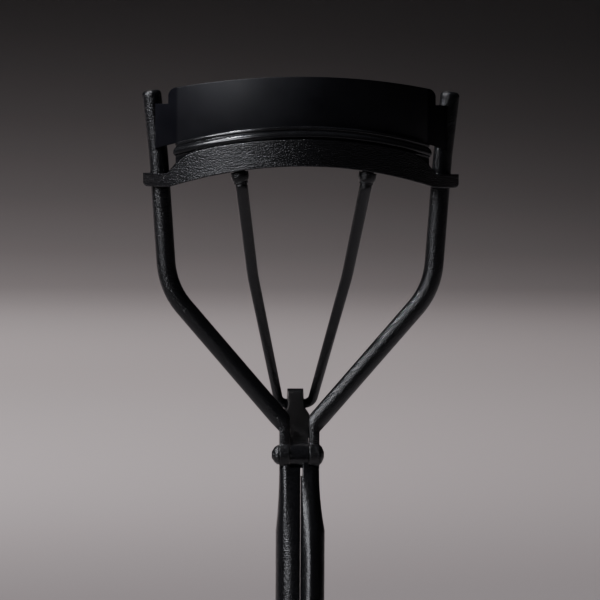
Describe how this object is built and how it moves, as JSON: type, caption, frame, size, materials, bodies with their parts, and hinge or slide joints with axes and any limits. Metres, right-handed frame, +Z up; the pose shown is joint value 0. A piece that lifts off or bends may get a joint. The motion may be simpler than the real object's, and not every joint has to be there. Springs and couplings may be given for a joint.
{
  "type": "eyelash curler",
  "caption": "Black eyelash curler: wire frame with a curved upper plate, sliding padded lower jaw on push rods, and scissor-like finger-ring handles.",
  "frame": {"origin": "on the ground plane under the middle of the part, at the lowest point of the finger rings, with the curler standing upright", "axes": "+Z up along the frame arms, -Y towards the convex front of the jaws, +X to the right seen from the front"},
  "size_m": [0.0438, 0.0528, 0.1048],
  "materials": {
    "textured_black": "fine-grained satin black coat over steel",
    "satin_black": "smooth satin black coat over steel sheet",
    "black_rubber": "smooth glossy black silicone rubber"
  },
  "bodies": {
    "frame": {"left_frame_arm": "textured_black", "right_frame_arm": "textured_black", "fixed_handle": "textured_black", "upper_jaw_plate": "satin_black", "pivot_rivet": "textured_black"},
    "moving_handle": {"moving_handle": "textured_black"},
    "lower_jaw": {"lower_jaw_bar": "textured_black", "jaw_pad": "black_rubber"},
    "push_rods": {"push_rod_left": "textured_black", "push_rod_right": "textured_black", "rod_collar_left": "textured_black", "rod_collar_right": "textured_black"}
  },
  "joints": [
    {"name": "handle_hinge", "type": "hinge", "parent": "frame", "child": "moving_handle", "pos_m": [0, 0, 0.0525], "axis": [-1, 0, 0], "range_deg": [0, 38]},
    {"name": "jaw_slide", "type": "slide", "parent": "frame", "child": "lower_jaw", "axis": [0, 0, -1], "range_m": [0, 0.00779]},
    {"name": "rod_swing", "type": "hinge", "parent": "lower_jaw", "child": "push_rods", "pos_m": [0, -0.01079, 0.09257], "axis": [1, 0, 0], "range_deg": [0, 4.85]}
  ],
  "couplings": [
    {"joint": "jaw_slide", "follows": "handle_hinge", "m_per_rad": 0.01171},
    {"joint": "rod_swing", "follows": "handle_hinge", "ratio": 0.127}
  ]
}
